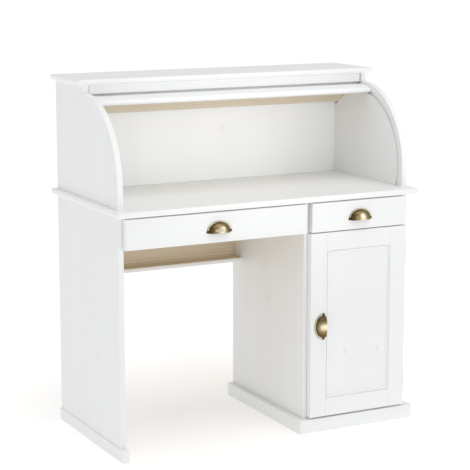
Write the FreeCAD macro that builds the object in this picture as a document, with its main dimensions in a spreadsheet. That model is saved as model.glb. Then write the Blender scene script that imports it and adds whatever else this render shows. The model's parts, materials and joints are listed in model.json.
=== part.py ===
import FreeCAD, Part
import os
import re

# Roll top desk: worktop on a leg panel and a cupboard pedestal, two drawers, a panelled door, and a
# quarter-round hutch whose curved slatted curtain rolls up under the top board.
# Millimetres, +Z up, -Y is the front. The origin is the bottom centre of the whole desk.

DIMS = [
    # overall
    ("carcass_w", 1000, "outer face of the leg panel to outer face of the pedestal"),
    ("work_top", 760, "height of the working surface"),
    ("arc_r", 260, "radius of the hutch side's front edge"),
    ("panel", 18, "panel thickness"),
    # boards
    ("work_t", 19, "worktop thickness"),
    ("work_side", 17, "worktop overhang at each side"),
    ("work_front", 44, "worktop overhang at the front"),
    ("work_back", 11, "worktop overhang at the back"),
    ("top_t", 18, "hutch top thickness"),
    ("top_side", 18, "hutch top overhang at each side"),
    ("top_over", 14, "hutch top overhang ahead of the step in the sides"),
    ("nose_drop", 8, "height of the tapered lower part of a board edge"),
    ("nose_in", 7, "how far that taper runs in"),
    ("back_t", 6, "thickness of the plywood backs"),
    ("back_gap", 2, "plywood backs sit this far inside the panel backs"),
    # pedestal, foot and plinth
    ("ped_w", 375, "pedestal width"),
    ("plinth_t", 20, "plinth board thickness"),
    ("plinth_h", 44, "plinth height"),
    ("foot_h", 39, "foot height"),
    ("foot_w", 23.5, "foot width"),
    ("foot_out", 3.5, "foot outside the leg panel"),
    ("foot_front", 23, "foot ahead of the leg panel"),
    ("foot_rear", 5, "foot behind the leg panel"),
    ("shelf_t", 16, "thickness of the pedestal bottom, shelf and cross rail"),
    ("shelf_up", 280, "clear height under the shelf"),
    ("shelf_gap", 0.5, "space at each end of the shelf"),
    ("peg", 9, "size of the shelf supports"),
    # fronts
    ("front_t", 22, "thickness of the drawer fronts and the door"),
    ("front_gap", 2, "gap between the fronts and the panel edges"),
    ("drawer_down", 6, "gap between the worktop and the drawer fronts"),
    ("drawer_h", 92, "height of the drawer fronts"),
    ("wide_over", 4.2, "how far the wide drawer front laps over the leg panel"),
    ("wide_clear", 2.4, "gap between the wide drawer front and the pedestal's outer face"),
    ("small_in", 15.5, "small drawer front's left end from the pedestal's outer face"),
    ("fronts_in", 15.5, "right end of the pedestal fronts from the pedestal's outer face"),
    ("door_in", 12, "door's left edge from the pedestal's outer face"),
    ("door_up", 6.5, "gap between the plinth and the door"),
    ("door_down", 3, "gap between the small drawer front and the door"),
    ("stile", 58, "width of the door's stiles and rails"),
    ("bead_w", 7, "width of the sloping bead round the door panel"),
    ("bead_d", 7, "how deep the door panel lies behind the frame"),
    ("door_panel_t", 10, "door panel thickness"),
    # drawer boxes
    ("box_down", 13, "gap between the worktop and the drawer boxes"),
    ("box_h", 72, "height of the drawer boxes"),
    ("box_short", 42, "drawer boxes are this much shorter than the panels"),
    ("side_t", 12, "drawer side thickness"),
    ("side_gap", 4, "space between a drawer side and the panel"),
    ("run_h", 11.5, "runner height"),
    ("run_w", 22, "runner width"),
    ("run_gap", 0.5, "clearance between a drawer box and its runners"),
    # kneehole back
    ("ledge_down", 264, "underside of the ledge below the worktop's underside"),
    ("ledge_t", 12, "ledge thickness"),
    ("ledge_d", 67, "ledge depth, with the board behind it"),
    ("lip_t", 10, "depth of the painted lip on the ledge"),
    # hutch
    ("arc_rise", 60, "height of the curve's centre above the worktop"),
    ("head", 24, "space between the top of the curve and the hutch top"),
    ("step_in", 8, "the step up to the hutch top stands ahead of the curve's centre"),
    ("rail_in", 4, "front rail behind that step"),
    ("rail_drop", 28, "height of the front rail"),
    ("rail_end", 3, "gap at each end of the front rail"),
    ("baffle_t", 12, "thickness of the strip behind the front rail"),
    ("baffle_drop", 15, "how far that strip hangs below the rail"),
    ("false_t", 9, "false back thickness"),
    ("false_gap", 0.245, "clearance between the curtain's tail and the false back"),
    ("false_up", 0.358, "top of the false back above the curtain's tail"),
    ("batten", 20, "size of the battens behind the false back"),
    ("back_space", 31, "space between the battens and the plywood back"),
    # curtain
    ("edge_band", 20.2, "wood between the curved front edge and the groove"),
    ("groove_w", 13.8, "width of the groove in the sides"),
    ("groove_deep", 8, "depth of the groove"),
    ("groove_end", 1.5, "clearance at each end of the slats"),
    ("groove_gap", 0.6, "clearance between the groove and the rear leaf"),
    ("leaf_t", 6, "leaf thickness"),
    ("leaf_gap", 0.6, "gap between the leaves"),
    ("lining_t", 1, "thickness of the pine lining inside the slats"),
    ("lead_t", 16.8, "thickness of the leading rail"),
    ("lead_end", 0.7, "gap at each end of the leading rail"),
    ("lead_a", 75.7, "angle of the leading rail's nose, degrees above the front"),
    ("lead_b", 88.5, "angle of the leading rail's back edge"),
    ("front_b", 130, "angle of the front leaf's tail"),
    ("rear_a", 78, "angle of the rear leaf's head"),
    ("rear_b", 128, "angle of the rear leaf's tail"),
    ("slat_gap", 0.3, "angle between two slats"),
    # cup pulls
    ("cup_w", 36, "half width of the cup"),
    ("cup_h", 32, "height of the cup"),
    ("flange_side", 6.5, "flange beside the cup"),
    ("flange_top", 4, "flange above the cup"),
    ("cup_d", 19.5, "how far the cup stands out"),
    ("cup_t", 1.8, "wall of the cup"),
    ("ear_r", 4.2, "radius of the ears beside the cup"),
    ("pull_up", 30, "drawer pull's open edge above the bottom of its front"),
    ("pull_in", 50, "door pull's open edge from the door's edge"),
    ("pull_drop", 2.25, "door pull below the middle of the door"),
    # hinges and catch
    ("pin_in", 12, "hinge pins from the pedestal's outer face"),
    ("pin_y", -3.5, "hinge pins from the panel fronts"),
    ("knuckle_r", 3, "hinge knuckle radius"),
    ("hinge_h", 60, "hinge height"),
    ("hinge_up", 59.5, "lower hinge above the bottom of the door"),
    ("hinge_down", 60, "upper hinge below the top of the door"),
    ("catch_down", 32, "catch below the top of the door"),
    ("catch_h", 44, "catch height"),
]

# Values the sheet works out itself.
DERIVED = [
    ("ped_x", "carcass_w - ped_w", "outer face of the pedestal from the leg panel's outer face"),
    ("arc_y", "arc_r", "centre of the hutch curve behind the panel fronts"),
    ("arc_z", "work_top + arc_rise", "height of the centre of the hutch curve"),
    ("groove_out", "arc_r - edge_band", "outer radius of the groove"),
    ("groove_in", "groove_out - groove_w", "inner radius of the groove"),
    ("leaf_in", "groove_in + groove_gap", "inner radius of the rear leaf"),
    ("leaf_mid", "leaf_in + leaf_t", "outer radius of the rear leaf"),
    ("front_in", "leaf_mid + leaf_gap", "inner radius of the front leaf"),
    ("front_out", "front_in + leaf_t", "outer radius of the front leaf"),
    ("lead_out", "front_in + lead_t", "outer radius of the leading rail"),
    ("nose_r", "lead_t / 2", "radius of the leading rail's nose"),
    ("front_pitch", "(front_b - lead_b) / 8", "angle from slat to slat, front leaf"),
    ("rear_pitch", "(rear_b - rear_a) / 10", "angle from slat to slat, rear leaf"),
    ("slat_x", "panel - groove_deep + groove_end", "slat ends, inside the grooves"),
    ("step_y", "arc_y - step_in", "where the sides step up to the hutch top"),
    ("top_front", "step_y - top_over", "front edge of the hutch top"),
    ("rail_y", "step_y + rail_in", "front face of the front rail"),
    ("false_y", "arc_y - front_out * cos(front_b) + false_gap", "front face of the false back"),
    ("false_hi", "arc_z + front_in * sin(front_b) + false_up", "top of the false back"),
    ("back_face", "false_y + false_t + batten + back_space", "front face of the plywood backs"),
    ("carcass_d", "back_face + back_t + back_gap", "front edge to back edge of the panels"),
    ("top_under", "arc_z + arc_r + head", "underside of the hutch top"),
    ("desk_h", "top_under + top_t", "floor to the top of the hutch"),
    ("rail_lo", "top_under - rail_drop", "underside of the front rail"),
    ("baffle_lo", "rail_lo - baffle_drop", "underside of the strip behind it"),
    ("work_under", "work_top - work_t", "underside of the worktop"),
    ("drawer_hi", "work_under - drawer_down", "top of the drawer fronts"),
    ("drawer_lo", "drawer_hi - drawer_h", "underside of the drawer fronts"),
    ("box_hi", "work_under - box_down", "top of the drawer boxes"),
    ("box_lo", "box_hi - box_h", "underside of the drawer boxes"),
    ("box_len", "carcass_d - box_short", "length of the drawer boxes"),
    ("run_hi", "box_lo - run_gap", "top of the runners"),
    ("cross_z", "run_hi - run_h - 0.5", "top of the rail between drawer and cupboard"),
    ("door_lo", "plinth_h + door_up", "bottom edge of the door"),
    ("door_hi", "drawer_lo - door_down", "top edge of the door"),
    ("shelf_z", "plinth_h + shelf_t + shelf_up", "underside of the shelf"),
    ("ledge_lo", "work_under - ledge_down", "underside of the ledge"),
    ("ledge_front", "carcass_d - ledge_d", "front of the ledge"),
    ("wide_l", "panel - wide_over", "left end of the wide drawer front"),
    ("wide_r", "ped_x - wide_clear", "right end of the wide drawer front"),
    ("small_l", "ped_x + small_in", "left end of the small drawer front"),
    ("door_l", "ped_x + door_in", "left edge of the door"),
    ("fronts_r", "carcass_w - fronts_in", "right end of the small drawer front and the door"),
    ("front_face", "-(front_gap + front_t)", "front face of the drawers and the door"),
    ("pull_w", "cup_w + flange_side", "half width of a pull's flange"),
    ("pull_h", "cup_h + flange_top", "height of a pull's flange"),
    ("pull_z", "drawer_lo + pull_up", "open edge of the drawer pulls"),
    ("door_pull_x", "door_l + pull_in", "open edge of the door pull"),
    ("door_pull_z", "(door_lo + door_hi) / 2 - pull_drop", "middle of the door pull"),
    ("pin_x", "carcass_w - pin_in", "hinge pins from the leg panel's outer face"),
    ("hinge_low", "door_lo + hinge_up", "underside of the lower hinge"),
    ("hinge_high", "door_hi - hinge_down - hinge_h", "underside of the upper hinge"),
    ("catch_lo", "door_hi - catch_down - catch_h", "underside of the catch"),
    ("cx", "-(carcass_w + plinth_t + top_side) / 2 + top_side", "leg panel's outer face"),
    ("cy", "-(carcass_d + work_front + work_back) / 2 + work_front", "front edges of the panels"),
]

doc = FreeCAD.newDocument("roll_top_desk")
sheet = doc.addObject("Spreadsheet::Sheet", "dims")
KNOWN = set(name for name, _, _ in DIMS) | set(name for name, _, _ in DERIVED)


def bound(text, prefix="dims."):
    """The text with every known dimension name pointed at the sheet."""
    def swap(match):
        return prefix + match.group(0) if match.group(0) in KNOWN else match.group(0)
    return re.sub(r"[a-z_]+", swap, str(text))


for row, (name, value, note) in enumerate(DIMS, 1):
    sheet.set("A%d" % row, note)
    sheet.set("B%d" % row, str(value))
    sheet.setAlias("B%d" % row, name)
doc.recompute()
for row, (name, formula, note) in enumerate(DERIVED, len(DIMS) + 1):
    sheet.set("A%d" % row, note)
    sheet.set("B%d" % row, "=" + bound(formula, ""))
    sheet.setAlias("B%d" % row, name)
    doc.recompute()

NODES = []
X_AXIS = FreeCAD.Vector(1, 0, 0)
ALONG_X = FreeCAD.Rotation(FreeCAD.Vector(0, -1, 0), FreeCAD.Vector(0, 0, 1), FreeCAD.Vector(-1, 0, 0), "ZXY")


def bind(obj, **props):
    for prop, text in props.items():
        obj.setExpression(prop, bound(text))


def move(obj, x=None, y=None, z=None):
    """Tie an object's position to the sheet; x and y count from the leg panel's front outer edge."""
    if x is not None:
        obj.setExpression("Placement.Base.x", bound("cx + (%s)" % x))
    if y is not None:
        obj.setExpression("Placement.Base.y", bound("cy + (%s)" % y))
    if z is not None:
        obj.setExpression("Placement.Base.z", bound(z))


def span(low, high):
    return "(%s) - (%s)" % (high, low)


def box(x0, x1, y0, y1, z0, z1):
    obj = doc.addObject("Part::Box", "Box")
    bind(obj, Length=span(x0, x1), Width=span(y0, y1), Height=span(z0, z1))
    move(obj, x0, y0, z0)
    return obj


def fuse(*parts):
    obj = doc.addObject("Part::MultiFuse", "Fuse")
    obj.Shapes = list(parts)
    obj.Refine = True
    return obj


def cut(base, tool):
    obj = doc.addObject("Part::Cut", "Cut")
    obj.Base = base
    obj.Tool = tool
    return obj


def together(*parts):
    obj = doc.addObject("Part::Compound", "Set")
    obj.Links = list(parts)
    return obj


def rounded(base, radius, chosen=lambda edge: True):
    """Fillet the chosen edges of a base."""
    doc.recompute()
    obj = doc.addObject("Part::Fillet", "Round")
    obj.Base = base
    obj.Edges = [(i, radius, radius) for i, edge in enumerate(base.Shape.Edges, 1) if chosen(edge)]
    return obj


def node(label, obj):
    obj.Label = label
    NODES.append(obj)
    return obj


def board(label, x0, x1, y0, y1, z0, z1, radius=0):
    plain = box(x0, x1, y0, y1, z0, z1)
    return node(label, rounded(plain, radius) if radius else plain)


def nosed_board(label, x0, x1, y0, y1, z0, z1):
    """A board whose front and end edges are rounded above and taper in below; the back stays square."""
    upper = box(x0, x1, y0, y1, "%s + nose_drop" % z0, z1)
    taper = doc.addObject("Part::Wedge", "Taper")
    width = span(x0, x1)
    depth = span(y0, y1)
    bind(taper, Xmin="nose_in", Xmax=width + " - nose_in", Ymin="0", Ymax="nose_drop", Zmin="0",
         Zmax=depth + " - nose_in", X2min="0", X2max=width, Z2min="0", Z2max=depth)
    taper.Placement.Rotation = FreeCAD.Rotation(X_AXIS, 90)
    move(taper, x0, y1, z0)
    whole = fuse(upper, taper)
    doc.recompute()
    top = whole.Shape.BoundBox.ZMax
    return node(label, rounded(whole, 4, lambda e: all(abs(v.Z - top) < 0.01 for v in e.Vertexes)))


def rod_x(radius, x0, x1, sweep="360"):
    """A cylinder, or a sector of one, along X about the origin; angles run from the front upwards."""
    obj = doc.addObject("Part::Cylinder", "Rod")
    bind(obj, Radius=radius, Height=span(x0, x1), Angle=sweep)
    obj.Placement.Rotation = ALONG_X
    obj.setExpression("Placement.Base.x", bound(x1))
    return obj


def turned(obj, start="0"):
    """Put an arc built about the origin onto the hutch curve's centre, starting at an angle."""
    obj.Placement.Rotation = FreeCAD.Rotation(FreeCAD.Vector(-1, 0, 0), 1)
    obj.setExpression("Placement.Rotation.Angle", bound(start))
    move(obj, "0", "arc_y", "arc_z")
    return obj


def arc(r_in, r_out, start, end, x0, x1):
    """A curved strip between two radii and two angles about the hutch curve's centre."""
    solid = rod_x(r_out, x0, x1, span(start, end))
    core = rod_x(r_in, "(%s) - 1" % x0, "(%s) + 1" % x1)
    return turned(cut(solid, core), start)


def rod_z(radius, x, y, z0, z1):
    obj = doc.addObject("Part::Cylinder", "Rod")
    bind(obj, Radius=radius, Height=span(z0, z1))
    move(obj, x, y, z0)
    return obj


# --- leg, foot, pedestal and plinth ---
PED_IN = "ped_x + panel"
RIGHT_IN = "carcass_w - panel"
INSIDE = (PED_IN, RIGHT_IN)
board("left_leg_panel", "0", "panel", "0", "carcass_d", "foot_h", "work_under")
board("left_foot", "-foot_out", "foot_w - foot_out", "-foot_front", "carcass_d + foot_rear", "0", "foot_h", 1.5)
board("pedestal_left_panel", "ped_x", PED_IN, "0", "carcass_d", "0", "work_under")
board("pedestal_right_panel", RIGHT_IN, "carcass_w", "0", "carcass_d", "0", "work_under")
board("pedestal_bottom", *INSIDE, "0", "back_face", "plinth_h", "plinth_h + shelf_t")
board("pedestal_back", *INSIDE, "back_face", "back_face + back_t", "plinth_h", "work_under")
board("pedestal_cross_rail", *INSIDE, "0", "60", "cross_z - shelf_t", "cross_z")
board("pedestal_shelf", PED_IN + " + shelf_gap", RIGHT_IN + " - shelf_gap", "20", "back_face - 4",
      "shelf_z", "shelf_z + shelf_t", 1)
pegs = []
for x0, x1 in ((PED_IN, PED_IN + " + peg"), (RIGHT_IN + " - peg", RIGHT_IN)):
    for y0 in ("50", "carcass_d - 72"):
        pegs.append(box(x0, x1, y0, y0 + " + peg", "shelf_z - 7", "shelf_z"))
node("shelf_supports", together(*pegs))
PLINTH_END = "carcass_d - back_gap"
board("plinth_front", "ped_x - plinth_t", "carcass_w + plinth_t", "-plinth_t", "0", "0", "plinth_h", 1.5)
board("plinth_left", "ped_x - plinth_t", "ped_x", "0", PLINTH_END, "0", "plinth_h", 1.5)
board("plinth_right", "carcass_w", "carcass_w + plinth_t", "0", PLINTH_END, "0", "plinth_h", 1.5)
board("plinth_back", *INSIDE, "back_face - panel", "back_face", "0", "plinth_h")

# --- worktop and kneehole back ---
nosed_board("worktop", "-work_side", "carcass_w + work_side", "-work_front", "carcass_d + work_back",
            "work_under", "work_top")
LEDGE_Z = ("ledge_lo", "ledge_lo + ledge_t")
board("rear_board", "panel", "ped_x", "carcass_d - panel", "carcass_d", "ledge_lo", "work_under")
board("rear_ledge", "panel", "ped_x", "ledge_front + lip_t", "carcass_d - panel", *LEDGE_Z)
board("ledge_lip", "panel", "ped_x", "ledge_front", "ledge_front + lip_t", *LEDGE_Z, 1.5)
runners = []
for x0, x1 in (("panel", "panel + run_w"), ("ped_x - run_w", "ped_x"),
               (PED_IN, PED_IN + " + run_w"), (RIGHT_IN + " - run_w", RIGHT_IN)):
    runners.append(box(x0, x1, "6", "box_len", "run_hi - run_h", "run_hi"))
node("drawer_runners", together(*runners))


# --- hutch ---
def hutch_side(label, x0, x1, g0, g1):
    """A side with a quarter-round front edge, a step up to the top board and the curtain's groove."""
    low = box(x0, x1, "0", "carcass_d", "work_top", "arc_z")
    high = box(x0, x1, "step_y", "carcass_d", "arc_z", "top_under")
    quarter = turned(together(rod_x("arc_r", x0, x1, "90")))
    return node(label, cut(fuse(low, high, quarter), arc("groove_in", "groove_out", "-16", "131", g0, g1)))


hutch_side("hutch_left_side", "0", "panel", "panel - groove_deep", "panel + 1")
hutch_side("hutch_right_side", RIGHT_IN, "carcass_w", RIGHT_IN + " - 1", RIGHT_IN + " + groove_deep")
nosed_board("hutch_top", "-top_side", "carcass_w + top_side", "top_front", "carcass_d", "top_under", "desk_h")
board("hutch_front_rail", "panel + rail_end", RIGHT_IN + " - rail_end", "rail_y", "rail_y + panel",
      "rail_lo", "top_under", 1.5)
board("curtain_baffle", "panel", RIGHT_IN, "rail_y + panel", "rail_y + panel + baffle_t",
      "baffle_lo", "top_under")
board("false_back", "panel", RIGHT_IN, "false_y", "false_y + false_t", "work_top", "false_hi")
battens = [box(x0, x1, "false_y + false_t", "false_y + false_t + batten", "work_top", "false_hi - 12")
           for x0, x1 in (("panel", "panel + batten"), (RIGHT_IN + " - batten", RIGHT_IN))]
node("false_back_battens", together(*battens))
board("hutch_back", "panel", RIGHT_IN, "back_face", "back_face + back_t", "work_top", "top_under")

# --- curtain, front leaf ---
LEAD = ("panel + lead_end", RIGHT_IN + " - lead_end")
SLAT = ("slat_x", "carcass_w - slat_x")
strip = arc("front_in", "lead_out", "lead_a", "lead_b", *LEAD)
nose = rod_x("nose_r", *LEAD)
nose.setExpression("Placement.Base.y", bound("-(front_in + nose_r)"))
nose_set = turned(together(nose), "lead_a")
node("curtain_leading_rail", fuse(strip, nose_set))
front_slats = []
for i in range(8):
    first = "lead_b + slat_gap + %d * front_pitch" % i
    last = "lead_b + %d * front_pitch" % (i + 1)
    front_slats.append(arc("front_in + lining_t", "front_out", first, last, *SLAT))
node("curtain_front_slats", together(*front_slats))
node("curtain_front_lining", arc("front_in", "front_in + lining_t", "lead_b", "front_b", *SLAT))

# --- curtain, rear leaf ---
rear_slats = []
for i in range(10):
    first = "rear_a + %d * rear_pitch" % i
    last = "rear_a + %d * rear_pitch - slat_gap" % (i + 1)
    rear_slats.append(arc("leaf_in + lining_t", "leaf_mid", first, last, *SLAT))
node("curtain_rear_slats", together(*rear_slats))
node("curtain_rear_lining", arc("leaf_in", "leaf_in + lining_t", "rear_a", "rear_b", *SLAT))


# --- cup pulls ---
def ellipsoid(across, out, up):
    """The front upper quarter of an ellipsoid: half width, reach to the front and height."""
    obj = doc.addObject("Part::Ellipsoid", "Quarter")
    obj.Angle1 = 0
    obj.Angle2 = 90
    obj.Angle3 = 180
    bind(obj, Radius1=up, Radius2=across, Radius3=out)
    obj.Placement.Rotation = FreeCAD.Rotation(FreeCAD.Vector(0, 0, 1), 180)
    return obj


def across_y(radius, x, z, y0, y1):
    """A short cylinder along Y between y0 and y1."""
    obj = doc.addObject("Part::Cylinder", "Stud")
    bind(obj, Radius=radius, Height=span(y0, y1))
    obj.Placement.Rotation = FreeCAD.Rotation(X_AXIS, 90)
    obj.setExpression("Placement.Base.x", bound(x))
    obj.setExpression("Placement.Base.y", bound(y1))
    obj.setExpression("Placement.Base.z", bound(z))
    return obj


def cup_pull(label, x, z, upright=False):
    """A half-dome pull with a flange and an ear at each end, and its two screw heads."""
    sides = ("-1 * (pull_w - ear_r)", "pull_w - ear_r")
    ears = [across_y("ear_r", side, "ear_r + 0.3", "-2.2", "0") for side in sides]
    shell = fuse(ellipsoid("cup_w", "cup_d", "cup_h"), ellipsoid("pull_w", "2.6", "pull_h"), *ears)
    hollow = ellipsoid("cup_w - cup_t", "cup_d - cup_t", "cup_h - cup_t")
    pull = cut(shell, hollow)
    heads = together(*[across_y("2.4", side, "ear_r + 0.3", "-3.8", "-2.2") for side in sides])
    for obj, name in ((pull, label), (heads, label + "_screws")):
        if upright:
            obj.Placement.Rotation = FreeCAD.Rotation(FreeCAD.Vector(0, 1, 0), -90)
        move(obj, x, "front_face", z)
        node(name, obj)


# --- drawers ---
def drawer(name, left, right, x0, x1):
    """A drawer: overlaid front, a box between the runners, and a cup pull in the middle."""
    front = box(left, right, "front_face", "-front_gap", "drawer_lo", "drawer_hi")
    node(name + "_front", rounded(front, 1.5))
    inner0 = x0 + " + side_gap + side_t"
    inner1 = x1 + " - side_gap - side_t"
    end = "box_len - front_gap"
    board(name + "_left_side", x0 + " + side_gap", inner0, "-front_gap", end, "box_lo", "box_hi", 1)
    board(name + "_right_side", inner1, x1 + " - side_gap", "-front_gap", end, "box_lo", "box_hi", 1)
    board(name + "_back", inner0, inner1, end + " - side_t", end, "box_lo + 9", "box_hi", 1)
    board(name + "_bottom", inner0, inner1, "-front_gap", end, "box_lo + 5", "box_lo + 9")
    cup_pull(name + "_pull", "((%s) + (%s)) / 2" % (left, right), "pull_z")


drawer("wide_drawer", "wide_l", "wide_r", "panel", "ped_x")
drawer("small_drawer", "small_l", "fronts_r", *INSIDE)

# --- door ---
DOOR_Y = ("front_face", "-front_gap")
board("door_left_stile", "door_l", "door_l + stile", *DOOR_Y, "door_lo", "door_hi")
board("door_right_stile", "fronts_r - stile", "fronts_r", *DOOR_Y, "door_lo", "door_hi")
board("door_top_rail", "door_l + stile", "fronts_r - stile", *DOOR_Y, "door_hi - stile", "door_hi")
board("door_bottom_rail", "door_l + stile", "fronts_r - stile", *DOOR_Y, "door_lo", "door_lo + stile")
PANEL_Y = "front_face + bead_d"
board("door_panel", "door_l + stile", "fronts_r - stile", PANEL_Y, PANEL_Y + " + door_panel_t",
      "door_lo + stile", "door_hi - stile")
ring = box("door_l + stile", "fronts_r - stile", "front_face", PANEL_Y, "door_lo + stile", "door_hi - stile")
well = doc.addObject("Part::Wedge", "Well")
WELL_W = "(fronts_r - door_l - 2 * stile)"
WELL_H = "(door_hi - door_lo - 2 * stile)"
bind(well, Xmin="0.8", Xmax=WELL_W + " - 0.8", Zmin="0.8", Zmax=WELL_H + " - 0.8", Ymin="0", Ymax="bead_d",
     X2min="bead_w", X2max=WELL_W + " - bead_w", Z2min="bead_w", Z2max=WELL_H + " - bead_w")
move(well, "door_l + stile", "front_face", "door_lo + stile")
node("door_bead", cut(ring, well))
cup_pull("door_pull", "door_pull_x", "door_pull_z", upright=True)
board("door_strike_plate", PED_IN + " + 2", PED_IN + " + 14", "-front_gap", "-front_gap + 1.2",
      "catch_lo + 2", "catch_lo + catch_h - 2")
board("door_catch", PED_IN, PED_IN + " + 15", "0", "26", "catch_lo", "catch_lo + catch_h", 1)

# --- butt hinges ---
THIRD = "hinge_h / 3"
frame_leaves = []
door_leaves = []
pins = []
for z in ("hinge_low", "hinge_high"):
    middle = (z + " + " + THIRD, z + " + 2 * " + THIRD)
    frame_leaves.append(box("pin_x + 4", "carcass_w - 0.5", "-1.4", "0", z, z + " + hinge_h"))
    for z0, z1 in ((z, middle[0]), (middle[1], z + " + hinge_h")):
        frame_leaves.append(box("pin_x", "pin_x + 4", "-1.4", "0", z0, z1))
        frame_leaves.append(rod_z("knuckle_r", "pin_x", "pin_y", z0, z1))
    door_leaves.append(box("fronts_r", "fronts_r + 1.2", "front_face + 2", "pin_y - 4", z, z + " + hinge_h"))
    door_leaves.append(box("fronts_r", "fronts_r + 1.2", "pin_y - 4", "pin_y", middle[0] + " + 0.3",
                           middle[1] + " - 0.3"))
    knuckle = rod_z("knuckle_r", "pin_x", "pin_y", middle[0] + " + 0.3", middle[1] + " - 0.3")
    bore = rod_z("1.3", "pin_x", "pin_y", middle[0], middle[1])
    door_leaves.append(cut(knuckle, bore))
    pins.append(rod_z("1.25", "pin_x", "pin_y", *middle))
node("hinge_frame_leaves", fuse(*frame_leaves))
node("hinge_door_leaves", fuse(*door_leaves))
node("hinge_pins", together(*pins))

doc.recompute()

# --- checks and export ---
for obj in doc.Objects:
    if "Invalid" in obj.State or "Error" in obj.State:
        raise RuntimeError("%s (%s) did not recompute" % (obj.Name, obj.Label))
    if obj.isDerivedFrom("Part::Feature") and (obj.Shape.isNull() or not obj.Shape.isValid()):
        raise RuntimeError("%s (%s) has a bad shape" % (obj.Name, obj.Label))
os.makedirs("parts", exist_ok=True)
for obj in NODES:
    if not obj.Shape.Solids:
        raise RuntimeError("%s has no solid" % obj.Label)
    obj.Shape.exportStep("parts/%s.step" % obj.Label)
print("%d nodes" % len(NODES))
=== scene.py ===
import json
import math

import bmesh
import bpy
import numpy as np
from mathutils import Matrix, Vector

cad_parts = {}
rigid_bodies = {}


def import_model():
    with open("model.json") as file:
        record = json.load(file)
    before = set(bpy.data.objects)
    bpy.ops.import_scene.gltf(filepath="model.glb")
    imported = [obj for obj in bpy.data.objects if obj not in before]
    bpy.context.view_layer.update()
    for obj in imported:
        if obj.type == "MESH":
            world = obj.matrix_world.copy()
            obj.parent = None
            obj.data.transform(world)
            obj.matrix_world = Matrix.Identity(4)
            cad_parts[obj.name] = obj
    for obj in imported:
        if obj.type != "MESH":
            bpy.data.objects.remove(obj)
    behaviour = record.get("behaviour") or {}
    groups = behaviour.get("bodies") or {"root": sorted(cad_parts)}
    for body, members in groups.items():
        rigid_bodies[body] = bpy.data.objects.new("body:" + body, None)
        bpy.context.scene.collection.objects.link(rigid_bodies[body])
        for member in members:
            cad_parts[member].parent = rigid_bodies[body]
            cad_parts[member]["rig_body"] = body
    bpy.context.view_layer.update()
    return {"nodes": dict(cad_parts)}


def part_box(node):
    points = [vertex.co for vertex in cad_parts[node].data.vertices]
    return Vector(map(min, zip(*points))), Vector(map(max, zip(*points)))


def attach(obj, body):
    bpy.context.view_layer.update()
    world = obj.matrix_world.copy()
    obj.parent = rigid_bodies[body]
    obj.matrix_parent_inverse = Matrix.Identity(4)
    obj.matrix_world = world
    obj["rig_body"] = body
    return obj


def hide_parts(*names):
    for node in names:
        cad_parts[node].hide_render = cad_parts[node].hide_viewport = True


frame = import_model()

MM = 0.001
SUPPORT = 0.3 * MM   # a line of points this far inside a flat face keeps its shading flat
ROOM = 1.5 * SUPPORT   # what a board's corner radius has over its arris, so that the inset rows never cross
lumber = np.random.default_rng(11)   # gives every board its own piece of the grain pattern


# ---------------------------------------------------------------- materials
def linear(code):
    """An sRGB hex colour as linear RGBA: each channel c becomes ((c + 0.055) / 1.055) ^ 2.4, or c / 12.92 when
    small."""
    srgb = np.array([int(code[i:i + 2], 16) for i in (1, 3, 5)]) / 255
    rgb = np.where(srgb <= 0.04045, srgb / 12.92, ((srgb + 0.055) / 1.055) ** 2.4)
    return (*rgb.tolist(), 1.0)


def add(tree, kind, inputs, **settings):
    """Add a node with its settings; an input is a value, or another node's output to link."""
    node = tree.nodes.new("ShaderNode" + kind)
    for name, value in settings.items():
        setattr(node, name, value)
    for name, value in inputs.items():
        if isinstance(value, bpy.types.NodeSocket):
            tree.links.new(value, node.inputs[name])
        else:
            node.inputs[name].default_value = value
    return node


def new_material(name):
    """An empty node material and its tree."""
    material = bpy.data.materials.new(name)
    material.use_nodes = True
    material.node_tree.nodes.clear()
    return material, material.node_tree


KNOT_CELL = (0.24, 0.15)   # along and across the grain, in metres
RING_STEP = 0.011          # metres from ring to ring
STAVE = 0.07               # width of a stave, in metres


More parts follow.
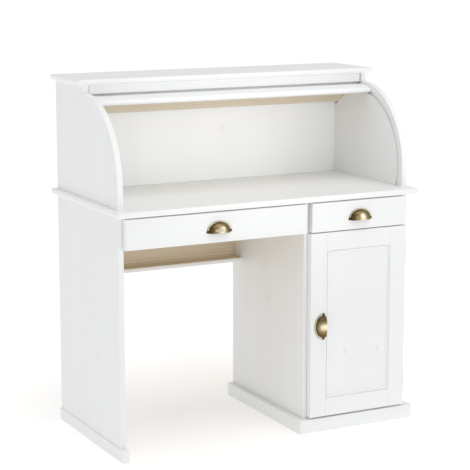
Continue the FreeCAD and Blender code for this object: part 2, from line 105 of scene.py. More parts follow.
def pine(name, early, late, knot, roughness, relief, clear, turn=None):
    """Sawn pine. Rings are a saw wave across the board, stretched along it and bent round the knots. Staves
    differ a little in tone, and short fibres run along the grain. A board carries its own grain coordinates,
    along, across and through, in metres; turn takes them from object space instead."""
    material, tree = new_material(name)
    if turn is None:
        place = add(tree, "Attribute", {}, attribute_name="grain").outputs["Vector"]
    else:
        space = add(tree, "TexCoord", {})
        place = add(tree, "Mapping", {"Vector": space.outputs["Object"], "Rotation": turn}).outputs[0]
    # knots, about 8 mm in radius: at most one in each cell of the face, and clear is the share that has none
    cell = add(tree, "VectorMath", {0: place, 1: (1 / KNOT_CELL[0], 1 / KNOT_CELL[1], 0)}, operation="MULTIPLY")
    wobble = add(tree, "TexNoise", {"Vector": cell.outputs[0], "Scale": 9.0, "Detail": 2.0})
    nudge = add(tree, "VectorMath", {0: wobble.outputs["Color"], 1: (0.03, 0.03, 0)}, operation="MULTIPLY")
    bent = add(tree, "VectorMath", {0: cell.outputs[0], 1: nudge.outputs[0]}, operation="ADD")
    eye = add(tree, "TexVoronoi", {"Vector": bent.outputs[0], "Scale": 1.0}, voronoi_dimensions="2D")
    chance = add(tree, "SeparateColor", {"Color": eye.outputs["Color"]})
    chosen = add(tree, "Math", {0: chance.outputs[0], 1: clear}, operation="GREATER_THAN")
    spot = add(tree, "MapRange", {"Value": eye.outputs["Distance"], "From Min": 0.03, "From Max": 0.055,
                                  "To Min": 1.0, "To Max": 0.0}, interpolation_type="SMOOTHSTEP")
    flow = add(tree, "MapRange", {"Value": eye.outputs["Distance"], "From Min": 0.0, "From Max": 0.24,
                                  "To Min": 1.0, "To Max": 0.0}, interpolation_type="SMOOTHERSTEP")
    knots = add(tree, "Math", {0: spot.outputs[0], 1: chosen.outputs[0]}, operation="MULTIPLY")
    push = add(tree, "Math", {0: flow.outputs[0], 1: chosen.outputs[0]}, operation="MULTIPLY")
    # rings, drawn two or three times as wide apart as real ones, so that they show across a room
    long_way = add(tree, "VectorMath", {0: place, 1: (0.055, 1.0, 0.8)}, operation="MULTIPLY")
    shove = add(tree, "CombineXYZ", {"Y": push.outputs[0]})
    aside = add(tree, "VectorMath", {0: shove.outputs[0], 1: (0, 0.022, 0)}, operation="MULTIPLY")
    around = add(tree, "VectorMath", {0: long_way.outputs[0], 1: aside.outputs[0]}, operation="ADD")
    rings = add(tree, "TexWave", {"Vector": around.outputs[0], "Scale": 2 * math.pi / (20 * RING_STEP),
                                  "Distortion": 7.0, "Detail": 2.5, "Detail Scale": 0.7,
                                  "Detail Roughness": 0.55},
                wave_type="BANDS", bands_direction="Y", wave_profile="SAW")
    dense = add(tree, "MapRange", {"Value": rings.outputs["Fac"], "From Min": 0.1, "From Max": 1.0},
                interpolation_type="SMOOTHSTEP")
    # the tree grew faster in some years: rings fade in and out over 80 mm across and 700 mm along
    years = add(tree, "VectorMath", {0: place, 1: (1.4, 12.0, 12.0)}, operation="MULTIPLY")
    growth = add(tree, "TexNoise", {"Vector": years.outputs[0], "Scale": 1.0, "Detail": 2.0})
    strong = add(tree, "MapRange", {"Value": growth.outputs["Fac"], "From Min": 0.38, "From Max": 0.62,
                                    "To Min": 0.15, "To Max": 0.8}, interpolation_type="SMOOTHSTEP")
    # fibres, 2.5 mm across and 90 mm long
    fine = add(tree, "VectorMath", {0: place, 1: (11.0, 400.0, 400.0)}, operation="MULTIPLY")
    fibre = add(tree, "TexNoise", {"Vector": fine.outputs[0], "Scale": 1.0, "Detail": 3.0, "Roughness": 0.6})
    split = add(tree, "SeparateXYZ", {"Vector": place})
    stave = add(tree, "Math", {0: split.outputs["Y"], 1: STAVE}, operation="DIVIDE")
    number = add(tree, "Math", {0: stave.outputs[0]}, operation="FLOOR")
    tone = add(tree, "TexWhiteNoise", {"W": number.outputs[0]}, noise_dimensions="1D")
    # density: rings carry most of it, fibres and the stave's own tone the rest
    share = add(tree, "Math", {0: dense.outputs[0], 1: strong.outputs[0]}, operation="MULTIPLY")
    streak = add(tree, "Math", {0: fibre.outputs["Fac"], 1: 0.45, 2: share.outputs[0]},
                 operation="MULTIPLY_ADD")
    density = add(tree, "Math", {0: tone.outputs["Value"], 1: 0.3, 2: streak.outputs[0]},
                  operation="MULTIPLY_ADD")
    wood = add(tree, "Mix", {0: density.outputs[0], 6: linear(early), 7: linear(late)}, data_type="RGBA")
    colour = add(tree, "Mix", {0: knots.outputs[0], 6: wood.outputs[2], 7: linear(knot)}, data_type="RGBA")
    gloss = add(tree, "MapRange", {"Value": fibre.outputs["Fac"], "To Min": roughness - 0.07,
                                   "To Max": roughness + 0.09})
    level = add(tree, "Math", {0: dense.outputs[0], 1: 0.5, 2: fibre.outputs["Fac"]}, operation="MULTIPLY_ADD")
    bump = add(tree, "Bump", {"Height": level.outputs[0], "Strength": relief, "Distance": 0.25 * MM})
    shader = add(tree, "BsdfPrincipled", {
        "Base Color": colour.outputs[2], "Roughness": gloss.outputs[0], "Normal": bump.outputs[0], "IOR": 1.5})
    add(tree, "OutputMaterial", {"Surface": shader.outputs[0]})
    return material


def pine_plywood():
    """Thin sanded plywood: a pale rotary-cut face, broad cloudy figure and short dark pores."""
    material, tree = new_material("sanded_pine_plywood")
    place = add(tree, "Attribute", {}, attribute_name="grain").outputs["Vector"]
    broad = add(tree, "VectorMath", {0: place, 1: (2.2, 14.0, 14.0)}, operation="MULTIPLY")
    cloud = add(tree, "TexNoise", {"Vector": broad.outputs[0], "Scale": 1.0, "Detail": 4.0, "Distortion": 1.4})
    short = add(tree, "VectorMath", {0: place, 1: (45.0, 520.0, 520.0)}, operation="MULTIPLY")
    pore = add(tree, "TexNoise", {"Vector": short.outputs[0], "Scale": 1.0, "Detail": 2.0})
    dark = add(tree, "MapRange", {"Value": pore.outputs["Fac"], "From Min": 0.58, "From Max": 0.8, "To Max": 0.5})
    face = add(tree, "Mix", {0: cloud.outputs["Fac"], 6: linear("#E9DBC0"), 7: linear("#D6BF98")},
               data_type="RGBA")
    colour = add(tree, "Mix", {0: dark.outputs[0], 6: face.outputs[2], 7: linear("#B08C58")}, data_type="RGBA")
    bump = add(tree, "Bump", {"Height": pore.outputs["Fac"], "Strength": 0.15, "Distance": 0.2 * MM})
    shader = add(tree, "BsdfPrincipled", {
        "Base Color": colour.outputs[2], "Roughness": 0.62, "Normal": bump.outputs[0], "IOR": 1.5})
    add(tree, "OutputMaterial", {"Surface": shader.outputs[0]})
    return material


def antique_brass(name, wear_and_highlight):
    """Cast brass with a brown patina, paler up to near white where an attribute is high. On the pulls that attribute
    is mostly a painted highlight and painted reflection, with a little real wear, and its low values add painted
    dark reflection at the cup's ends. The second argument names the attribute. It may instead be empty for brass
    that nobody touches, whose tone then varies at random, and a mottled noise of 4 mm breaks up the edge."""
    material, tree = new_material(name)
    space = add(tree, "TexCoord", {})
    blotch = add(tree, "TexNoise", {"Vector": space.outputs["Object"], "Scale": 260.0, "Detail": 4.0,
                                    "Roughness": 0.6})
    grit = add(tree, "TexNoise", {"Vector": space.outputs["Object"], "Scale": 1500.0, "Detail": 2.0})
    # on the pulls the attribute paints a near-white highlight and reflection, with a little wear; plain brass is
    # mottled at random instead
    if wear_and_highlight:
        wear_and_highlight_mask = add(tree, "Attribute", {}, attribute_name=wear_and_highlight).outputs["Fac"]
    else:
        wear_and_highlight_mask = add(tree, "Math", {0: blotch.outputs["Fac"], 1: 0.8}, operation="MULTIPLY").outputs[0]
    uneven = add(tree, "Math", {0: blotch.outputs["Fac"], 1: 0.5, 2: -0.25}, operation="MULTIPLY_ADD")
    wear_and_highlight_level = add(tree, "Math", {0: wear_and_highlight_mask, 1: uneven.outputs[0]}, operation="ADD", use_clamp=True)
    # brown patina to plain brass, then near white where the level passes 0.6, which on the pulls is a painted
    # highlight
    brown = add(tree, "Mix", {0: wear_and_highlight_level.outputs[0], 6: linear("#46381F"), 7: linear("#D6BF8C")}, data_type="RGBA")
    highlight_amount = add(tree, "MapRange", {"Value": wear_and_highlight_level.outputs[0], "From Min": 0.6, "From Max": 1.0})
    colour = add(tree, "Mix", {0: highlight_amount.outputs[0], 6: brown.outputs[2], 7: linear("#FBF3DA")}, data_type="RGBA")
    dull = add(tree, "MapRange", {"Value": wear_and_highlight_level.outputs[0], "To Min": 0.42, "To Max": 0.2})
    bump = add(tree, "Bump", {"Height": grit.outputs["Fac"], "Strength": 0.08, "Distance": 0.1 * MM})
    shader = add(tree, "BsdfPrincipled", {
        "Base Color": colour.outputs[2], "Metallic": 1.0, "Roughness": dull.outputs[0],
        "Normal": bump.outputs[0]})
    add(tree, "OutputMaterial", {"Surface": shader.outputs[0]})
    return material


def small_metal(name, dark, pale, roughness, scale):
    """Turned or rolled metal with fine scratches: noise between two tones, stretched along one way."""
    material, tree = new_material(name)
    space = add(tree, "TexCoord", {})
    drawn = add(tree, "VectorMath", {0: space.outputs["Object"], 1: (scale, scale, scale * 0.12)},
                operation="MULTIPLY")
    scratch = add(tree, "TexNoise", {"Vector": drawn.outputs[0], "Scale": 1.0, "Detail": 4.0})
    colour = add(tree, "Mix", {0: scratch.outputs["Fac"], 6: linear(dark), 7: linear(pale)}, data_type="RGBA")
    gloss = add(tree, "MapRange", {"Value": scratch.outputs["Fac"], "To Min": roughness - 0.08,
                                   "To Max": roughness + 0.1})
    bump = add(tree, "Bump", {"Height": scratch.outputs["Fac"], "Strength": 0.1, "Distance": 0.05 * MM})
    shader = add(tree, "BsdfPrincipled", {
        "Base Color": colour.outputs[2], "Metallic": 1.0, "Roughness": gloss.outputs[0],
        "Normal": bump.outputs[0]})
    add(tree, "OutputMaterial", {"Surface": shader.outputs[0]})
    return material


def catch_plastic():
    """Moulded white polypropylene: very slightly mottled, with a fine spark-eroded texture."""
    material, tree = new_material("moulded_white_plastic")
    space = add(tree, "TexCoord", {})
    grain = add(tree, "TexNoise", {"Vector": space.outputs["Object"], "Scale": 900.0, "Detail": 2.0})
    colour = add(tree, "Mix", {0: grain.outputs["Fac"], 6: linear("#E4E3DD"), 7: linear("#F0EFEA")},
                 data_type="RGBA")
    bump = add(tree, "Bump", {"Height": grain.outputs["Fac"], "Strength": 0.2, "Distance": 0.1 * MM})
    shader = add(tree, "BsdfPrincipled", {
        "Base Color": colour.outputs[2], "Roughness": 0.45, "Normal": bump.outputs[0], "IOR": 1.49})
    add(tree, "OutputMaterial", {"Surface": shader.outputs[0]})
    return material


# white-stained pine: opaque enough to read as white, thin enough to let rings and knots through faintly
WHITE = pine("white_stained_pine", "#F6F7F8", "#F2F3F2", "#F1EDE5", 0.46, 0.07, 0.84)
# clear-lacquered pine: pale straw with darker rings and red-brown knots
LACQUERED = ("#EDE3D2", "#D8C7AB", "#8A5C3B", 0.5, 0.3, 0.62)
NATURAL = pine("clear_lacquered_pine", *LACQUERED)
NATURAL_DEPTH = pine("clear_lacquered_pine_front_to_back", *LACQUERED, turn=(0, 0, -math.pi / 2))
NATURAL_UPRIGHT = pine("clear_lacquered_pine_upright", *LACQUERED, turn=(0, math.pi / 2, 0))
# sanded plywood of the backs and drawer bottoms: pale, matt and cloudy
PLYWOOD = pine_plywood()
# antique brass: dark brown patina in the hollows; on the pulls, a painted near-white highlight and reflection with a
# little wear, and painted dark reflection at the cup's ends
BRASS = antique_brass("antique_brass_worn_and_highlighted", "wear_and_highlight_level")
HINGE_BRASS = antique_brass("antique_brass_plain", "")
# bronzed screws, near-black; zinc-plated steel, light grey with a satin sheen; off-white plastic of the catch
SCREW = small_metal("bronzed_steel_screw", "#17120C", "#3A2F22", 0.4, 900.0)
STEEL = small_metal("zinc_plated_steel", "#8E9094", "#C9CBCE", 0.34, 700.0)
PLASTIC = catch_plastic()


# ---------------------------------------------------------------- surfaces
def faces_of(grid, first, ring, mirrored):
    """Quads of a grid whose columns join up. Its end rows meet when ring is set. Otherwise each is closed by one
    face, or by quads from each column to its mirror column, counted from the other end, when mirrored is set."""
    rows, columns = grid.shape[:2]
    index = first + np.arange(rows * columns).reshape(rows, columns)
    if ring:
        index = np.vstack([index, index[:1]])
    beside = np.roll(index, -1, axis=1)
    quads = np.stack([index[:-1], beside[:-1], beside[1:], index[1:]], axis=-1).reshape(-1, 4).tolist()
    if ring:
        return quads
    if mirrored:
        there = index[[0, -1], :columns // 2]
        back = index[[0, -1], ::-1][:, :columns // 2]
        caps = np.stack([there[:, :-1], there[:, 1:], back[:, 1:], back[:, :-1]], axis=-1)
        return quads + caps.reshape(-1, 4).tolist()
    return quads + [index[0, ::-1].tolist(), index[-1].tolist()]


def make_piece(name, grids, material, nodes, grains=None, ring=False, mirrored=False, wear_and_highlight=None):
    """One object from closed grids of points. It rides with, and stands for, the CAD nodes it is given."""
    points, faces, count = [], [], 0
    for grid in grids:
        faces += faces_of(grid, count, ring, mirrored)
        points.append(grid.reshape(-1, 3))
        count += grid.shape[0] * grid.shape[1]
    mesh = bpy.data.meshes.new(name)
    mesh.from_pydata(np.vstack(points).tolist(), [], faces)
    shell = bmesh.new()
    shell.from_mesh(mesh)
    bmesh.ops.recalc_face_normals(shell, faces=shell.faces)
    shell.to_mesh(mesh)
    shell.free()
    mesh.polygons.foreach_set("use_smooth", np.ones(len(mesh.polygons), bool))
    mesh.set_sharp_from_angle(angle=math.radians(32))
    if grains is not None:
        values = np.vstack([g.reshape(-1, 3) for g in grains]).astype(np.float32)
        mesh.attributes.new("grain", "FLOAT_VECTOR", "POINT").data.foreach_set("vector", values.ravel())
    # each point's level of painted highlight and reflection, with a little wear, read by the brass
    if wear_and_highlight is not None:
        values = np.concatenate([w.ravel() for w in wear_and_highlight]).astype(np.float32)
        mesh.attributes.new("wear_and_highlight_level", "FLOAT", "POINT").data.foreach_set("value", values)
    mesh.materials.append(material)
    piece = bpy.data.objects.new(name, mesh)
    bpy.context.scene.collection.objects.link(piece)
    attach(piece, frame["nodes"][nodes[0]]["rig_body"])
    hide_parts(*nodes)
    return piece


def inward(outline):
    """Mitred inward direction at each point of a closed outline: the sum of the two edge normals over one plus
    their dot product, so that moving by s shifts every edge by s."""
    edge = np.roll(outline, -1, axis=0) - outline
    edge /= np.linalg.norm(edge, axis=1, keepdims=True)
    after = np.stack([-edge[:, 1], edge[:, 0]], axis=1)
    before = np.roll(after, 1, axis=0)
    mitre = (after + before) / (1 + (after * before).sum(axis=1, keepdims=True))
    x, y = outline.T
    turns_left = (x * np.roll(y, -1) - y * np.roll(x, -1)).sum() > 0
    return mitre if turns_left else -mitre


def edge_section(low, high, r_low, r_high, steps=4):
    """Inset and height from one face to the other, with a quarter-round arris at each: inset r (1 - sin t),
    height r (1 - cos t) from the face. low may be the higher face."""
    t = np.linspace(0, math.pi / 2, steps + 1)
    up = math.copysign(1, high - low)
    parts = []
    for r, face, way in ((r_low, low, 1), (r_high, high, -1)):
        inset = np.concatenate([[r + SUPPORT], r * (1 - np.sin(t)), [0]])
        height = np.concatenate([[0], r * (1 - np.cos(t)), [r + SUPPORT]])
        part = np.stack([inset, face + up * way * height], axis=1)
        parts.append(part if way > 0 else part[::-1])
    return np.vstack(parts)


def lofted(outline, section):
    """Points of an outline carried through a section: outline + inward direction * inset, at each height."""
    flat = outline[None] + inward(outline)[None] * section[:, 0, None, None]
    height = np.broadcast_to(section[:, 1, None, None], (*flat.shape[:2], 1))
    return np.concatenate([flat, height], axis=2)


def rounded_rectangle(low, high, radius, steps=4):
    """A rectangle's outline, anticlockwise, with quarter-circle corners and a point just inside each straight."""
    t = np.linspace(0, math.pi / 2, steps + 1)
    corner = np.stack([np.cos(t), np.sin(t)], axis=1) * radius
    corner = np.vstack([[radius, -SUPPORT], corner, [-SUPPORT, radius]])
    loops = []
    for quarter, (x, y) in enumerate(((1, 1), (0, 1), (0, 0), (1, 0))):
        c, s = round(math.cos(quarter * math.pi / 2)), round(math.sin(quarter * math.pi / 2))
        turned = corner @ np.array([[c, s], [-s, c]])
        centre = np.where((x, y), high - radius, low + radius)
        loops.append(centre + turned)
    return np.vstack(loops)


def grain_of(points, axis, spread):
    """Grain coordinates: along the axis, across the wider way and through the thinner, with the board's own
    offset."""
    order = [axis] + sorted((i for i in range(3) if i != axis), key=lambda i: -spread[i])
    return points[..., order] + lumber.uniform(-3, 3, 3)


def board(node, axis, radius, material):
    """A sawn board in its CAD node's box: a rounded rectangle carried along the grain, with rounded arrises."""
    low, high = (np.array(corner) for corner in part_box(node))
    along = "xyz".index(axis)
    others = [i for i in range(3) if i != along]
    r = radius * MM
    outline = rounded_rectangle(low[others], high[others], r + ROOM)
    grid = lofted(outline, edge_section(low[along], high[along], r, r))
    points = np.empty_like(grid)
    points[..., others] = grid[..., :2]
    points[..., along] = grid[..., 2]
    return make_piece(node + "_board", [points], material, [node], [grain_of(points, along, high - low)])


def nosed_board(node):
    """A wide board with a nosed front and ends: below, the edge runs in by run as (1 - z / rise) ^ 1.4; above, a
    quarter round. Its back stays square, and each row's corners are as round as its inset leaves them."""
    run, rise, quarter, corner_r = 7 * MM, 8 * MM, 4 * MM, 2 * MM
    low, high = (np.array(corner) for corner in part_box(node))
    s = np.linspace(0, 1, 9)
    under = np.stack([run * (1 - s) ** 1.4, low[2] + rise * s], axis=1)
    t = np.linspace(0, math.pi / 2, 7)
    over = np.stack([quarter * (1 - np.cos(t)), high[2] - quarter * (1 - np.sin(t))], axis=1)
    section = np.vstack([[run + SUPPORT, low[2]], under, over, [quarter + SUPPORT, high[2]]])
    rows = []
    for inset, height in section:
        flat = rounded_rectangle(low[:2] + inset, high[:2] - (inset, 0), max(corner_r - inset, SUPPORT))
        rows.append(np.insert(flat, 2, height, axis=1))
    points = np.stack(rows)
    return make_piece(node + "_board", [points], WHITE, [node], [grain_of(points, 0, high - low)])


# ---------------------------------------------------------------- carcass
WHITE_BOARDS = {
    "z": ("left_leg_panel", "pedestal_left_panel", "pedestal_right_panel", "false_back"),
    "y": ("plinth_left", "plinth_right", "left_foot"),
    "x": ("pedestal_bottom", "pedestal_cross_rail", "pedestal_shelf", "plinth_front", "plinth_back", "ledge_lip",
          "hutch_front_rail", "curtain_baffle", "wide_drawer_front", "small_drawer_front"),
}
for axis, names in WHITE_BOARDS.items():
    for name in names:
        board(name, axis, 1.4, WHITE)
for name in ("worktop", "hutch_top"):
    nosed_board(name)
for name, axis in (("rear_board", "x"), ("rear_ledge", "x"),
                   ("wide_drawer_left_side", "y"), ("wide_drawer_right_side", "y"), ("wide_drawer_back", "x"),
                   ("small_drawer_left_side", "y"), ("small_drawer_right_side", "y"), ("small_drawer_back", "x")):
    board(name, axis, 1.0, NATURAL)
for name, axis in (("hutch_back", "x"), ("pedestal_back", "z"), ("wide_drawer_bottom", "x"),
                   ("small_drawer_bottom", "x")):
    board(name, axis, 0.3, PLYWOOD)
for name, material in (("drawer_runners", NATURAL_DEPTH), ("shelf_supports", NATURAL_DEPTH),
                       ("false_back_battens", NATURAL_UPRIGHT), ("hinge_frame_leaves", HINGE_BRASS),
                       ("hinge_door_leaves", HINGE_BRASS), ("hinge_pins", HINGE_BRASS)):
    for part in frame["nodes"][name].material_slots:
        part.material = material

# ---------------------------------------------------------------- hutch sides
side_low, side_high = (np.array(corner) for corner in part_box("hutch_left_side"))
ARC_R = 260 * MM
CENTRE = np.array([side_low[1] + ARC_R, side_low[2] + 60 * MM])
STEP = 8 * MM                                   # the top of the side stops this far in front of the centre
GROOVE_OUT, GROOVE_IN, GROOVE_DEEP = 239.8 * MM, 226 * MM, 8 * MM
GROOVE_END = math.radians(131)


def polar(radius, angle):
    """Points at radii and angles about the centre of the hutch curve; angles run from the front upwards."""
    return CENTRE + np.stack([-radius * np.cos(angle), radius * np.sin(angle)], axis=-1)


def side_outline(slot):
    """The side's outline: along the bottom, up the back, forward along the top, down the step and round the curved
    front edge. With slot set, the groove for the curtain is cut into it from the bottom edge."""
    drop = CENTRE[1] - side_low[2]
    step_y = CENTRE[0] - STEP
    start = [side_low[[1, 2]][None]]
    if slot:
        out = np.linspace(-math.asin(drop / GROOVE_OUT), GROOVE_END, 90)
        back = np.linspace(GROOVE_END, -math.asin(drop / GROOVE_IN), 90)
        turn = np.linspace(0, math.pi, 9)[1:-1]
        middle, half = (GROOVE_OUT + GROOVE_IN) / 2, (GROOVE_OUT - GROOVE_IN) / 2
        cap = polar(middle + half * np.cos(turn), GROOVE_END + half / middle * np.sin(turn))
        start += [polar(np.full(90, GROOVE_OUT), out), cap, polar(np.full(90, GROOVE_IN), back)]
    corners = np.array([[side_high[1], side_low[2]], [side_high[1], side_high[2]], [step_y, side_high[2]]])
    top = math.acos(STEP / ARC_R)
    edge = polar(np.full(60, ARC_R), np.linspace(top, 0, 60))
    return np.vstack([*start, corners, edge])


def hutch_side(node, outer_x, inner_x):
    """A side in two layers glued face to face: a plain outer one, and an inner one as thick as the groove is deep,
    which the groove is cut through. Both are outlines carried across the board with rounded arrises."""
    seam = inner_x - math.copysign(GROOVE_DEEP, inner_x - outer_x)
    outer = lofted(side_outline(False), edge_section(outer_x, seam, 1.4 * MM, 0))
    inner = lofted(side_outline(True), edge_section(seam, inner_x, 0, 0.9 * MM))
    shells = [outer[..., [2, 0, 1]], inner[..., [2, 0, 1]]]
    offset = lumber.uniform(-3, 3, 3)
    grains = [shell[..., [2, 1, 0]] + offset for shell in shells]
    return make_piece(node + "_board", shells, WHITE, [node], grains)


right_low, right_high = (np.array(corner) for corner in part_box("hutch_right_side"))
hutch_side("hutch_left_side", side_low[0], side_high[0])
hutch_side("hutch_right_side", right_high[0], right_low[0])


# ---------------------------------------------------------------- curtain
SHEET, SLAT = 1 * MM, 5 * MM                    # thickness of the lining and of the slats on it
FRONT_LEAF, REAR_LEAF = 233.2 * MM, 226.6 * MM  # inner radius of each leaf
RAIL_OUT = 250 * MM                             # outer radius of the leading rail


def lath(r_in, r_out, start, end, x0, x1, radius, arris=0.5 * MM, steps=10):
    """A curved lath about the hutch curve: a rounded rectangle of arc length by thickness, bent to the radius and
    carried along X, with its grain coordinates, along X, round the curve and through."""
    middle = (r_in + r_out) / 2
    half = (end - start) / 2 * middle
    flat = rounded_rectangle(np.array([-half, r_in]), np.array([half, r_out]), radius)
    fill = []
    for a, b in zip(flat, np.roll(flat, -1, axis=0)):
        count = steps if abs(b[0] - a[0]) > half else 1
        fill.append(a + (b - a) * np.arange(count)[:, None] / count)
    flat = np.vstack(fill)
    outline = polar(flat[:, 1], (start + end) / 2 + flat[:, 0] / middle)
    grid = lofted(outline, edge_section(x0, x1, arris, arris, 2))
    across = np.broadcast_to(flat[None, :, 0], grid.shape[:2])
    through = np.broadcast_to(flat[None, :, 1], grid.shape[:2])
    grain = np.stack([grid[..., 2], across, through], axis=-1)
    return grid[..., [2, 0, 1]], grain


def slatted_leaf(leaf, r_in, start, end, count, gap_first):
    """A leaf's slats, each its own lath of wood, evenly spaced in angle with a small gap, which comes before each
    slat when gap_first is 1 and after it when it is 0."""
    pitch = (end - start) / count
    r_out = r_in + SLAT
    x0, x1 = (corner[0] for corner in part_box(leaf))
    gap = math.radians(0.3)
    shells, grains = [], []
    for i in range(count):
        a = start + i * pitch + gap * gap_first
        shell, grain = lath(r_in, r_out, a, a + pitch - gap, x0, x1, 1.7 * MM)
        shells.append(shell)
        grains.append(grain + lumber.uniform(-3, 3, 3))
    return make_piece(leaf + "_laths", shells, WHITE, [leaf], grains)


def lining(node, r_in, start, end):
    """The pine sheet that the slats are glued to; it shows inside the open curtain."""
    x0, x1 = (corner[0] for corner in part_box(node))
    shell, grain = lath(r_in, r_in + SHEET, start, end, x0, x1, 0.17 * MM, 0.1 * MM, 40)
    place = (1.4, 0.31, 0)   # in the grain pattern, the same for both sheets
    return make_piece(node + "_sheet", [shell], NATURAL, [node], [grain + place],
                      mirrored=True)


def degrees(*angles):
    """Angles in degrees, as radians."""
    return [math.radians(angle) for angle in angles]


front_a, front_b, rear_a, rear_b = degrees(88.5, 130, 78, 128)
slatted_leaf("curtain_front_slats", FRONT_LEAF + SHEET, front_a, front_b, 8, 1)
slatted_leaf("curtain_rear_slats", REAR_LEAF + SHEET, rear_a, rear_b, 10, 0)
lining("curtain_front_lining", FRONT_LEAF, front_a, front_b)
lining("curtain_rear_lining", REAR_LEAF, rear_a, rear_b)


def leading_rail(node):
    """The thick bottom rail of the curtain: outer arc, half-round nose, inner arc and flat back, carried along X."""
    x0, x1 = (corner[0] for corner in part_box(node))
    nose_a = math.radians(75.7)
    middle, half = (FRONT_LEAF + RAIL_OUT) / 2, (RAIL_OUT - FRONT_LEAF) / 2
    angles = np.linspace(front_a, nose_a, 14)
    out = np.array([-math.cos(nose_a), math.sin(nose_a)])
    ahead = np.array([-math.sin(nose_a), -math.cos(nose_a)])
    t = np.linspace(0, math.pi, 17)[1:-1, None]
    nose = polar(middle, nose_a) + half * (out * np.cos(t) + ahead * np.sin(t))
    outline = np.vstack([polar(np.full(14, RAIL_OUT), angles), nose,
                         polar(np.full(14, FRONT_LEAF), angles[::-1])])
    points = lofted(outline, edge_section(x0, x1, 1.2 * MM, 1.2 * MM))[..., [2, 0, 1]]
    return make_piece(node + "_profile", [points], WHITE, [node],
                      [points + lumber.uniform(-3, 3, 3)])


leading_rail("curtain_leading_rail")

# ---------------------------------------------------------------- door
for name in ("door_left_stile", "door_right_stile"):
    board(name, "z", 0.9, WHITE)
for name in ("door_top_rail", "door_bottom_rail"):
    board(name, "x", 0.9, WHITE)
board("door_panel", "z", 0.3, WHITE)


def door_bead():
    """The quirk bead round the door's panel: a narrow groove 2.8 mm deep beside the frame, then a nose and an
    S-curved fall, inset 3 to 7 mm, down to the panel. It is swept round the opening with mitred corners."""
    low, high = (np.array(corner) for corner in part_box("door_bead"))
    t = np.linspace(0, 1, 9)
    inset = np.concatenate([[0.05, 0.15, 0.8, 1.5, 1.6, 2.3], 3 + 4 * (t - 0.09 * np.sin(2 * math.pi * t)),
                            [0.05]]) * MM
    depth = np.concatenate([[0.3, 2.4, 2.8, 2.4, 0.9, 0.5], 0.6 + 6.4 * t, [7.0]]) * MM
    corners = np.array([[low[0], low[2]], [high[0], low[2]], [high[0], high[2]], [low[0], high[2]]])
    toward = np.array([[1, 1], [-1, 1], [-1, -1], [1, -1]])
    flat = corners[None] + toward[None] * inset[:, None, None]
    y = np.broadcast_to(low[1] + depth[:, None], flat.shape[:2])
    points = np.stack([flat[..., 0], y, flat[..., 1]], axis=-1)
    return make_piece("door_bead_moulding", [points], WHITE, ["door_bead"],
                      [points[..., [2, 0, 1]] + lumber.uniform(-3, 3, 3)], ring=True)


door_bead()
board("door_catch", "z", 0.8, PLASTIC)
board("door_strike_plate", "y", 0.15, STEEL)


# ---------------------------------------------------------------- pulls
CUP = np.array([35.0, 19.5, 31.2]) * MM   # half width, reach and height of the cup
WALL = 1.7 * MM
EAR = (38.3 * MM, 4.5 * MM)               # where a screw is: to the side of the cup's middle, and above its edge


def cup(u, v, size):
    """A quarter of a barrel: x = a cos u, reach and height b, c times sin(u) ^ 0.6, split by v."""
    fat = np.sin(u) ** 0.6
    x = size[0] * np.cos(u) + 0 * v
    return np.stack([x, -size[1] * fat * np.cos(v), size[2] * fat * np.sin(v)], axis=-1)


def cup_shell():
    """The cup's wall: outside from the open edge up to the plate, back down the inside, and a half-round lip that
    joins the two along the open edge. u is closer together near the ends, where the barrel turns fastest. Returns
    the points and their level of painted highlight and reflection, with a little wear."""
    u = 0.03 + (math.pi - 0.06) * (1 - np.cos(np.linspace(0, math.pi, 41)))[:, None] / 2
    v = np.linspace(0.03, math.pi / 2, 17)[None]
    outside = cup(u, v, CUP)
    inside = cup(u, v[:, ::-1], CUP - WALL)
    edge_out, edge_in = outside[:, :1], inside[:, -1:]
    t = np.linspace(math.pi, 0, 7)[1:-1][None, :, None]
    middle, half = (edge_out + edge_in) / 2, (edge_out - edge_in) / 2
    lip = middle + half * np.cos(t) - np.array([0, 0, WALL / 2]) * np.sin(t)
    points = np.concatenate([outside, inside, lip], axis=1)
    # painted highlight: a near-white band down the middle of the cup, brightest towards its open edge, with painted
    # dark reflection at its ends; the inside stays dark brown patina, and the lip gets a painted bright rim
    painted_highlight = np.exp(-((np.cos(u) - 0.05) / 0.5) ** 2) * np.exp(-(v / 1.05) ** 4)
    wear_and_highlight = np.concatenate([0.06 + 0.92 * painted_highlight, np.full(painted_highlight.shape, 0.1), np.full((len(u), 5), 0.75)], axis=1)
    return points, wear_and_highlight


def plate_shell():
    """The flat plate round the cup: a half ring between two ellipses, with a rounded outer edge and a raised bead
    against the cup. Returns the points and their level of painted highlight and reflection, with a little wear."""
    u = np.linspace(0, math.pi, 49)[:, None]
    across = np.array([0.0, 0.0, 0.06, 0.18, 0.3, 0.36, 0.6, 0.86, 0.95, 1.0, 1.0])[None]
    depth = np.array([0.0, 1.9, 2.4, 2.5, 2.2, 1.7, 1.6, 1.5, 1.2, 0.7, 0.0])[None] * MM
    x = (34.4 + 8.1 * across) * MM * np.cos(u)
    z = (30.4 + 5.6 * across) * MM * np.sin(u)
    points = np.stack([x, np.broadcast_to(-depth, x.shape), z], axis=-1)
    # painted reflection: a near-white band round the middle of the plate, darker at the bead and at the outer edge
    wear_and_highlight = 0.1 + 0.95 * np.exp(-((across - 0.62) / 0.24) ** 4) + 0 * u
    return points, wear_and_highlight


def turned_shell(x, z, radii, depths):
    """A turned knob: rings of the given radii at the given depths in front of the plate."""
    a = np.arange(28) * 2 * math.pi / 28
    rings = np.array(radii)[:, None] * MM
    flat = np.array(depths)[:, None] * MM + 0 * a
    return np.stack([x + rings * np.cos(a), -flat, z + rings * np.sin(a)], axis=-1)


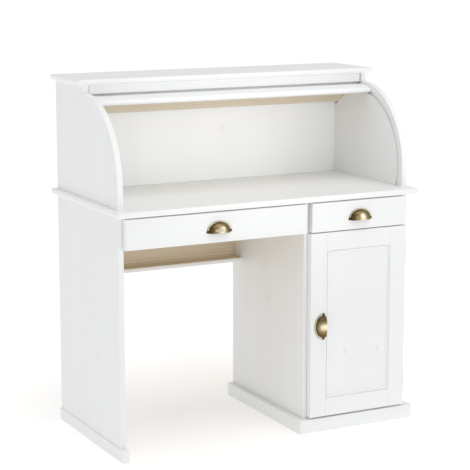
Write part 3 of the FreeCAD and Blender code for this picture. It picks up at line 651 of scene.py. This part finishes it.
def screw_shell(x, z, turn):
    """A raised screw head of radius 2.4 mm: 1.5 mm times the root of 1 - (r / 2.45 mm) ^ 2 high, with a cross
    0.66 mm wide sunk in."""
    r = np.array([2.4, 2.4, 2.3, 2.1, 1.9, 1.6, 1.3, 1.0, 0.7, 0.4, 0.15])[:, None] * MM
    a = np.arange(40)[None] * 2 * math.pi / 40
    dome = 2.2 * MM + 1.5 * MM * np.sqrt(1 - (r / (2.45 * MM)) ** 2)
    arm = np.minimum(abs(r * np.cos(a + turn)), abs(r * np.sin(a + turn)))
    sunk = np.where((arm < 0.33 * MM) & (r < 1.7 * MM), 0.7 * MM, 0)
    depth = np.where(np.arange(len(r))[:, None] == 0, 2.0 * MM, dome - sunk)
    return np.stack([x + r * np.cos(a), -depth, z + r * np.sin(a)], axis=-1)


def cup_pull(node, front, upright):
    """A cup pull with its two screws, standing on a front; upright turns its open edge to the right."""
    low, high = (np.array(corner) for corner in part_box(node))
    if upright:
        place = np.array([high[0], front, (low[2] + high[2]) / 2])
    else:
        place = np.array([(low[0] + high[0]) / 2, front, low[2]])

    def stand(points):
        turned = np.stack([-points[..., 2], points[..., 1], points[..., 0]], axis=-1) if upright else points
        return place + turned

    ears = [(side * EAR[0], EAR[1]) for side in (-1, 1)]
    bosses = [turned_shell(x, z, (4.2, 4.2, 4.0, 3.5, 2.6), (0.0, 1.5, 1.95, 2.15, 2.2)) for x, z in ears]
    shells = [cup_shell(), plate_shell()] + [(boss, np.full(boss.shape[:2], 0.2)) for boss in bosses]
    make_piece(node + "_casting", [stand(points) for points, _ in shells], BRASS, [node],
               wear_and_highlight=[wear_and_highlight for _, wear_and_highlight in shells])
    heads = [stand(screw_shell(x, z, 0.4 + 60 * x)) for x, z in ears]
    make_piece(node + "_screw_heads", heads, SCREW, [node + "_screws"])


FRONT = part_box("wide_drawer_front")[0][1]
cup_pull("wide_drawer_pull", FRONT, False)
cup_pull("small_drawer_pull", FRONT, False)
cup_pull("door_pull", FRONT, True)

# ---------------------------------------------------------------- floor, light and camera
floor_mesh = bpy.data.meshes.new("studio_floor")
WIDE = 60   # half the floor's width, in metres
floor_mesh.from_pydata([(-WIDE, -WIDE, 0), (WIDE, -WIDE, 0), (WIDE, WIDE, 0), (-WIDE, WIDE, 0)], [],
                       [(0, 1, 2, 3)])
floor_material, floor_tree = new_material("pale_studio_floor")
floor_space = add(floor_tree, "TexCoord", {})
floor_noise = add(floor_tree, "TexNoise", {"Vector": floor_space.outputs["Object"], "Scale": 3.0, "Detail": 2.0})
floor_colour = add(floor_tree, "Mix", {0: floor_noise.outputs["Fac"], 6: linear("#F8F8F8"),
                                       7: linear("#FBFBFB")}, data_type="RGBA")
shader = add(floor_tree, "BsdfPrincipled", {
    "Base Color": floor_colour.outputs[2], "Roughness": 0.9, "Specular IOR Level": 0.1,
    "Emission Color": linear("#FFFFFF"), "Emission Strength": 0.23})
add(floor_tree, "OutputMaterial", {"Surface": shader.outputs[0]})
floor_mesh.materials.append(floor_material)
floor = bpy.data.objects.new("studio_floor", floor_mesh)
bpy.context.scene.collection.objects.link(floor)


def lamp(name, kind, place, aim, power):
    """A white light at a place, facing the point it aims at."""
    data = bpy.data.lights.new(name, kind)
    data.energy = power
    light = bpy.data.objects.new(name, data)
    light.location = place
    light.rotation_euler = (Vector(aim) - Vector(place)).to_track_quat("-Z", "Y").to_euler()
    bpy.context.scene.collection.objects.link(light)
    return data


# broad soft light, steeply down from slightly in front
overhead = lamp("overhead_softbox", "SUN", (0, -0.26, 4), (0, 0.8, 0), 0.69)
overhead.angle = math.radians(40)
# three narrow soft lights side by side in front, aimed into the hutch
for x in (-0.3, 0.0, 0.3):
    snoot = lamp("front_snoot", "SPOT", (x, -2.6, 1.35), (x, 0.19, 0.9), 50)
    snoot.spot_size = 0.3
    snoot.spot_blend = 1.0
    snoot.shadow_soft_size = 0.25

# a tall strip light in front, to the right
strip = lamp("strip_softbox", "AREA", (1.67, -2.3, 1.7), (0, -0.25, 0.72), 4.5)
strip.shape = "RECTANGLE"
strip.size, strip.size_y = 0.45, 1.8

# the studio is white where the camera sees it, and dimmer where it lights the desk
world = bpy.data.worlds.new("white_studio")
bpy.context.scene.world = world
world.use_nodes = True
world.node_tree.nodes.clear()
ray = add(world.node_tree, "LightPath", {})
level = add(world.node_tree, "MapRange", {"Value": ray.outputs["Is Camera Ray"], "To Min": 0.65,
                                          "To Max": 1.0})
sky = add(world.node_tree, "Background", {"Color": linear("#FFFFFF"), "Strength": level.outputs[0]})
add(world.node_tree, "OutputWorld", {"Surface": sky.outputs[0]})

lens = bpy.data.cameras.new("camera")
lens.sensor_width = 36
lens.lens = 36 * 1580.41 / 470   # a focal length of 3.36 image widths
lens.shift_y = -0.043
camera = bpy.data.objects.new("camera", lens)
camera.location = (-2.27895, -4.39699, 1.53461)
camera.rotation_euler = (math.radians(90 - 9.86), 0, math.radians(-27.39))
bpy.context.scene.collection.objects.link(camera)
bpy.context.scene.camera = camera
bpy.context.scene.view_settings.view_transform = "Standard"

bpy.context.view_layer.update()
